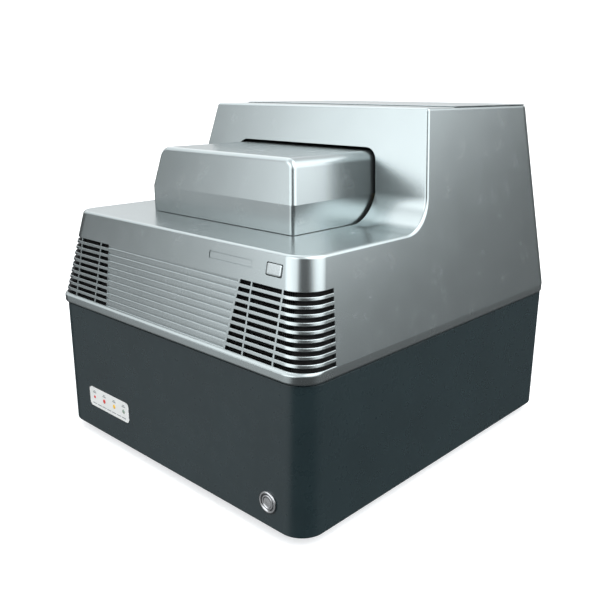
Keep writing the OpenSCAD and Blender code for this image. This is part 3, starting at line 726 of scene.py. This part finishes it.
def vent_cutter():
    """All slots of both vents, each in three lengths between the upright ribs."""
    bm = bmesh.new()
    left, right = VENT_RIBS
    half_rib = RIB_T / 2
    lengths = [
        [inner_end, front_at(left - half_rib)],
        [front_at(left + half_rib), front_at(right - half_rib)],
        [front_at(right + half_rib)] + [corner_at(7.5 * k) for k in range(13)] + [rear_end],
    ]
    section = slot_section()
    for row in range(VENT_ROWS):
        top = VENT_TOP - row * VENT_PITCH
        for side in (-1, 1):
            for stations in lengths:
                rings = []
                for station in stations:
                    ring = []
                    for out, down in section:
                        x, y = station(top - down, out)
                        ring.append((side * x, y, top - down))
                    rings.append(ring)
                add_loft(bm, rings, inner=SLOT_INSIDE)
    cutter = make_object("vent_cutter", bm, MATERIALS["silver_paint"])
    # The dark second material on the strips behind the rolled edges is partly inner plastic and partly
    # painted shade in the slots.
    cutter.data.materials.append(MATERIALS["inner_plastic"])
    return cutter


def louvre_section():
    """Section of one groove as (inwards, down): a slope in, then a ledge that rolls out again."""
    depth, deepest, ledge, out = 1.05, 2.7, 1.7, 0.4
    section = [(-out, -out * deepest / depth), (depth, deepest)]
    for k in range(1, 7):
        turn = math.radians(15 * k)
        section.append((depth * (1 - math.sin(turn)), deepest + ledge * (1 - math.cos(turn))))
    section.append((-out, deepest + ledge))
    return section


def louvre_cutter():
    """Shallow grooves between the vents, which stop short of the left one and fade out at the right."""
    bm = bmesh.new()
    section = louvre_section()
    for row in range(VENT_ROWS):
        top = VENT_TOP - row * VENT_PITCH
        left, right = 1.4 - slot_ends(top)[0], slot_ends(top)[0] - 2.2
        rings = []
        for x, share in ((left, 1.0), (right - 1.5, 1.0), (right, -0.3)):
            ring = []
            for into, down in section:
                into = into * share if into > 0 else into
                z = top - down * math.cos(FRONT_TILT) - into * math.sin(FRONT_TILT)
                y = front_y(top) - down * math.sin(FRONT_TILT) + into * math.cos(FRONT_TILT)
                ring.append((x, y, z))
            rings.append(ring)
        add_loft(bm, rings)
    return make_object("louvre_cutter", bm, MATERIALS["silver_paint"])


def on_front(bm, x, z):
    """Moves a mesh from its own frame, where +Y points into the housing, to the leaning front face."""
    place = Matrix.Translation(Vector((x, front_y(z), z)) * MM) @ Matrix.Rotation(-FRONT_TILT, 4, "X")
    bmesh.ops.transform(bm, verts=bm.verts, matrix=place)


def front_prism(name, x, z, half, radius, y0, y1, material=None):
    """Rounded plate or pocket in the leaning front face, from depth y0 to y1."""
    bm = bmesh.new()
    add_prism(bm, around((0, 0), half, radius, 6), "xz", y0, y1)
    on_front(bm, x, z)
    return make_object(name, bm, material)


def rear_slots():
    """Exhaust slots in the back of the tower."""
    bm = bmesh.new()
    for row in range(REAR_ROWS):
        centre = (0, REAR_LOW + row * REAR_PITCH)
        add_prism(bm, around(centre, REAR_SLOT, 1.7, 6), "xz", REAR_CUT, FAR)
    return make_object("rear_slots", bm, MATERIALS["silver_paint"])


def upper_housing():
    """Hollow silver shell with its deck, cove, tower, openings, vents and grooves."""
    silver, inner = MATERIALS["silver_paint"], MATERIALS["inner_plastic"]
    shell = combined(upper_solid(), [front_space(0, silver)])
    rounded(shell, 3.0, 5, 40)
    cavity = loft("cavity", [upper_ring(SEAM_Z - 20, WALL), upper_ring(TOWER_Z - WALL, WALL)], inner)
    tray = block("tray", (HOOD_X - TRAY_HALF, COVE_Y - 8, DECK_Z - WALL),
                 (HOOD_X + TRAY_HALF, TRAY_REAR, DECK_Z + 0.1), inner)
    combined(cavity, [front_space(WALL, inner), tray])
    opening = prism("opening", hood_section(HOOD_GAP, DECK_Z), "xz", COVE_Y - 30, 60, silver)
    outline = around((HOOD_X, WINDOW_Y), WINDOW_HALF, 5)
    window = prism("window", outline, "xy", DECK_Z - 20, DECK_Z + 1, silver)
    button = front_prism("button_hole", LID_BUTTON_X, LID_BUTTON_Z, LID_BUTTON_HOLE, 1.4, -5, 20, inner)
    recess = front_prism("recess", NAMEPLATE_X, NAMEPLATE_Z, NAMEPLATE_RECESS, 0.6, -5, 1.2, silver)
    tools = [cavity, opening, window, button, recess, rear_slots(), vent_cutter(), louvre_cutter()]
    return piece(combined(shell, tools), "housing", "silver_paint", "upper_housing")


def top_cover():
    """Thin plate over the rear part of the tower's roof."""
    lo, hi = (cover_lo.x, cover_lo.y), (cover_hi.x, cover_hi.y)
    radius = 24.0
    outline = [lo, (hi[0], lo[1])]
    outline += arc((hi[0] - radius, hi[1] - radius), radius, 0, 90, 16)
    outline += arc((lo[0] + radius, hi[1] - radius), radius, 90, 180, 16)
    cover = prism("top_cover_plate", outline, "xy", cover_lo.z, cover_hi.z, MATERIALS["silver_paint"])
    return piece(rounded(cover, 0.7, 3), "housing", "silver_paint", "top_cover")


def vent_mesh(name, node, side):
    """Wire mesh that follows the inside of the walls behind one vent."""
    inset, pitch, wire = WALL + 0.7, 2.4, 0.28
    low_z, high_z = 167.0, 241.0
    front_end, side_end = 92.0, -167.0

    def path(z):
        radius = UPPER_R - inset
        centre = (side_x(z) - inset - radius, front_y(z) + inset + radius)
        points = [(front_end, centre[1] - radius)]
        points += arc(centre, radius, -90, 0, 8)
        points.append((centre[0] + radius, side_end))
        return [(side * x, y, z) for x, y in points]

    bm = bmesh.new()
    for k in range(int((high_z - low_z) / pitch) + 1):
        add_tube(bm, path(low_z + k * pitch), wire, 4)
    low, high = path(low_z), path(high_z)
    for k in range(len(low) - 1):
        a, b, c, d = (Vector(p) for p in (low[k], low[k + 1], high[k], high[k + 1]))
        count = max(1, round((b - a).length / pitch))
        for n in range(count):
            share = n / count
            add_tube(bm, [a.lerp(b, share), c.lerp(d, share)], wire, 4)
    return piece(make_object(name, bm, MATERIALS["black_mesh"]), "housing", "black_mesh", node)


# ---------------------------------------------------------------- lower housing

def front_hole(x, z, radius, material, steps=48):
    """Tool for a round hole through the lower housing's front wall."""
    profile = [(0, 0), (radius, 0), (radius, 60), (0, 60)]
    return lathe("hole", profile, (x, FRONT_CUT, z), "+y", material, steps)


def lower_housing():
    """Four walls with a rounded foot, a shadow gap at the seam, and openings for what they carry."""
    slate, inner = MATERIALS["slate_paint"], MATERIALS["inner_plastic"]
    foot, edge = lower_lo.z, 1.6
    rings = []
    for k in range(5):
        turn = math.radians(90 * k / 4)
        inset = edge * (1 - math.sin(turn))
        rings.append((foot + edge * (1 - math.cos(turn)), inset))
    top = SEAM_Z - SEAM_GAP
    rings += [(top - 0.5, 0.0), (top - 0.15, 0.15), (top, 0.5), (top, SEAM_DEPTH), (SEAM_Z, SEAM_DEPTH)]
    rings = [housing_ring(z, BODY_HALF - i, BODY_FRONT + i, BODY_REAR - i, BODY_R - i) for z, i in rings]
    shell = loft("lower_housing_shell", rings, slate)
    wall = LOWER_WALL
    cavity = loft("cavity", [
        housing_ring(z, BODY_HALF - wall, BODY_FRONT + wall, BODY_REAR - wall, BODY_R - wall)
        for z in (0, FAR)], inner)
    hole = front_hole(POWER_X, POWER_Z, POWER_HOLE_R, slate)
    recess = prism("recess", around((STATUS_X, STATUS_Z), STATUS_RECESS, 5, 8), "xz",
                   BODY_FRONT - 10, BODY_FRONT + 0.6, slate)
    tools = [cavity, hole, recess]
    for offset, _, _ in LENSES.values():
        tools.append(front_hole(STATUS_X + offset, STATUS_Z, 2.7, slate, 24))
    outline = around((0, REAR_OPENING_Z), REAR_OPENING_HALF, 4)
    tools.append(prism("rear_opening", outline, "xz", REAR_CUT, FAR, slate))
    return piece(combined(shell, tools), "housing", "slate_paint", "lower_housing")


# ---------------------------------------------------------------- hood

def hood_solid(name, grow, low, front, rear, material):
    """Hood section along the object, with the leaning front above the crease."""
    top = HOOD_TOP + grow
    lean = HOOD_LEAN * (top + 1 - CREASE_Z)
    profile = [(front, low), (rear, low), (rear, top + 1), (front + lean, top + 1), (front, CREASE_Z)]
    body = prism(name, hood_section(grow, low), "xz", front - 5, rear, material)
    return combined(body, [prism("profile", profile, "yz", -FAR, FAR, material)], "INTERSECT")


def hood_shell():
    """Hollow hood, open below and behind."""
    silver, inner = MATERIALS["silver_paint"], MATERIALS["inner_plastic"]
    shell = hood_solid("hood_cover", 0, DECK_Z - 40, HOOD_FRONT, HOOD_REAR + 20, silver)
    rounded(shell, 5.0, 6, 40)
    cavity = hood_solid("cavity", -HOOD_WALL, DECK_Z - 60, HOOD_FRONT + HOOD_WALL, HOOD_REAR + 40, inner)
    under = block("under", (-FAR, -FAR, 0), (FAR, FAR, HOOD_BOTTOM), silver)
    behind = block("behind", (-FAR, HOOD_REAR, 0), (FAR, FAR, FAR), silver)
    combined(shell, [cavity, under, behind])
    return piece(shell, "hood", "silver_paint", "hood_shell", crease=CREASE_Z)


# ---------------------------------------------------------------- controls

def lid_button():
    """Soft-edged rectangular button with its flange and stem behind the wall."""
    bm = bmesh.new()
    rings = []
    for inset, depth in ((0, 4), (0, 0.1), (0.25, -0.5), (0.75, -0.85), (1.7, -1.0)):
        half = [size - inset for size in LID_BUTTON_HALF]
        outline = around((0, 0), half, 1.9 - inset, 6)
        rings.append([(x, depth, z) for x, z in outline])
    add_loft(bm, rings)
    flange, stem = ((11, 7), 1.5, 4.01, 4.5), ((2, 2), 0.4, 4.51, 8)
    for half, radius, y0, y1 in (flange, stem):
        add_prism(bm, around((0, 0), half, radius, 6), "xz", y0, y1)
    on_front(bm, LID_BUTTON_X, LID_BUTTON_Z)
    button = make_object("lid_button_cap", bm, MATERIALS["silver_plastic"])
    return piece(rounded(button, 0.2, 2, 50), "lid_button", "silver_plastic", "lid_button")


def nameplate():
    """Blank strip in its recess above the grooves."""
    plate = front_prism("nameplate_strip", NAMEPLATE_X, NAMEPLATE_Z, NAMEPLATE_HALF, 0.5, 0.5, 1.2,
                        MATERIALS["silver_paint"])
    return piece(rounded(plate, 0.15, 2, 40), "housing", "silver_paint", "nameplate_insert")


def power_button():
    """Round metal push button: a bezel ring and a dished cap."""
    front = BODY_FRONT
    ring = lathe("power_ring", [
        (7.6, -20), (9.5, -20), (9.5, 0), (11, 0), (11, 1.1), (10.7, 1.6), (10.1, 1.9), (9.4, 2.0),
        (8.6, 1.8), (8.0, 1.4), (7.6, 0.8), (7.6, -20)],
        (POWER_X, front, POWER_Z), "-y", MATERIALS["steel"], 64)
    piece(ring, "housing", "steel", "power_button_bezel")
    cap = lathe("power_cap", [
        (0, -14.8), (7.4, -14.8), (7.4, 1.0), (7.2, 1.4), (6.9, 1.6), (6.2, 1.65), (5.6, 1.55), (5.2, 1.2),
        (4.8, 1.0), (3.0, 1.1), (0, 1.15)], (POWER_X, front, POWER_Z), "-y", MATERIALS["steel"], 64)
    piece(cap, "power_button", "steel", "power_button")


def status_panel():
    """Label plate with plain printed bars over each light pipe and in a row along the bottom."""
    front = BODY_FRONT
    plate = prism("status_plate", around((STATUS_X, STATUS_Z), STATUS_HALF, 4.8, 8), "xz",
                  front - 0.2, front + 0.6, MATERIALS["label"])
    tools = []
    for offset, radius, _ in LENSES.values():
        tools.append(front_hole(STATUS_X + offset, STATUS_Z, radius + LENS_PLAY, MATERIALS["label"], 32))
    piece(combined(plate, tools), "housing", "label", "status_panel")
    ink = bmesh.new()
    levels = (front - 0.24, front - 0.19)
    bars = []
    for offset, _, _ in LENSES.values():
        bars.append((offset, 5.6, (3.4, 0.55), 0.4))
        bars.append((offset, 7.4, (2.2, 0.45), 0.35))
    bars += [(-30 + 10 * k, -8, (4.2, 0.5), 0.35) for k in range(7)]
    for x, z, half, radius in bars:
        add_prism(ink, around((STATUS_X + x, STATUS_Z + z), half, radius, 4), "xz", *levels)
    piece(make_object("status_print", ink, MATERIALS["print_ink"]), "housing", "dark_plastic")


def lenses():
    """Domed light pipes, each with a collar behind the wall."""
    for name, (offset, radius, colour) in LENSES.items():
        profile = [(0, -5), (4, -5), (4, -LOWER_WALL), (radius, -LOWER_WALL), (radius, 0.35)]
        profile += [(radius * math.cos(a), 0.35 + 0.45 * math.sin(a))
                    for a in (math.radians(22.5 * k) for k in range(1, 4))]
        profile.append((0, 0.8))
        lens = lathe(name + "_dome", profile, (STATUS_X + offset, BODY_FRONT, STATUS_Z), "-y",
                     MATERIALS[colour], 32)
        piece(lens, "housing", colour, name)


# ---------------------------------------------------------------- stage

CAMERA_AT = (0.584, -0.6387, 0.4034)
CAMERA_YAW = 0.756
CAMERA_PITCH = 0.283
CAMERA_ROLL = 0.004
CAMERA_LENS = 43.7


def camera():
    """Camera at the front right, a little above the tower's top."""
    data = bpy.data.cameras.new("camera")
    data.lens = CAMERA_LENS
    data.sensor_width = 36.0
    turn = (Matrix.Rotation(CAMERA_YAW, 4, "Z") @ Matrix.Rotation(math.pi / 2 - CAMERA_PITCH, 4, "X")
            @ Matrix.Rotation(CAMERA_ROLL, 4, "Z"))
    obj = bpy.data.objects.new("camera", data)
    obj.matrix_world = Matrix.Translation(CAMERA_AT) @ turn
    bpy.context.scene.collection.objects.link(obj)
    bpy.context.scene.camera = obj


# Azimuth from +X, elevation, half angles of the full and of the faded part, in degrees; brightness
LIGHT_BANKS = [
    (-106, 21, 24, 37, 2.05),
    (24, 42, 28, 51, 2.8),
    (-100, 78, 34, 59, 1.25),
    (122, 32, 18, 46, 0.9),
    (172, 38, 18, 42, 1.0),
    (-120, -14, 16, 38, 0.62),
    (36, -14, 16, 38, 0.12),
]
AMBIENT = 0.07


def studio_light():
    """Even light from all round, with brighter banks on each side, above and low down."""
    world = bpy.data.worlds.new("studio_light")
    bpy.context.scene.world = world
    world.use_nodes = True
    tree = world.node_tree
    direction = tree.nodes.new("ShaderNodeTexCoord").outputs["Generated"]
    total = None
    for azimuth, elevation, inner, outer, level in LIGHT_BANKS:
        turn, rise = math.radians(azimuth), math.radians(elevation)
        axis = (math.cos(turn) * math.cos(rise), math.sin(turn) * math.cos(rise), math.sin(rise))
        facing = tree.nodes.new("ShaderNodeVectorMath")
        facing.operation = "DOT_PRODUCT"
        facing.inputs[1].default_value = axis
        tree.links.new(direction, facing.inputs[0])
        bank = tree.nodes.new("ShaderNodeMapRange")
        bank.interpolation_type = "SMOOTHSTEP"
        bank.inputs["From Min"].default_value = math.cos(math.radians(outer))
        bank.inputs["From Max"].default_value = math.cos(math.radians(inner))
        bank.inputs["To Max"].default_value = level
        tree.links.new(facing.outputs["Value"], bank.inputs["Value"])
        add = tree.nodes.new("ShaderNodeMath")
        add.inputs[0].default_value = AMBIENT
        tree.links.new(bank.outputs["Result"], add.inputs[1])
        if total:
            tree.links.new(total, add.inputs[0])
        total = add.outputs["Value"]
    shade = tree.nodes["Background"]
    shade.inputs["Color"].default_value = (0.97, 0.985, 1.0, 1.0)
    tree.links.new(total, shade.inputs["Strength"])


def studio():
    """Pale floor that rises into a round wall. The soft light passes through it."""
    finish = Finish("studio_floor", Base_Color=linear(190, 191, 192), Roughness=0.9,
                    Emission_Color=linear(250, 251, 252), Emission_Strength=0.62)
    finish.set(Normal=finish.bump(finish.noise(6, 4), 0.02))
    bm = bmesh.new()
    level, flat, sweep, height = -0.2, 2600, 900, 3500
    profile = [(0, level), (flat, level)]
    profile += [(flat + sweep * math.sin(a), sweep + level - sweep * math.cos(a))
                for a in (math.radians(10 * k) for k in range(1, 10))]
    profile.append((flat + sweep, height))
    add_lathe(bm, profile, 96)
    floor = make_object("studio_floor", bm, finish.material)
    for polygon in floor.data.polygons:
        polygon.use_smooth = True
    floor.visible_glossy = False
    floor.visible_diffuse = False
    floor.visible_shadow = False
    studio_light()
    bpy.context.scene.view_settings.view_transform = "Standard"


# ---------------------------------------------------------------- the object

finish_nodes()
upper_housing()
top_cover()
vent_mesh("vent_wires_left", "vent_mesh_left", -1)
vent_mesh("vent_wires_right", "vent_mesh_right", 1)
lower_housing()
hood_shell()
lid_button()
nameplate()
power_button()
status_panel()
lenses()
camera()
studio()

bpy.context.view_layer.update()
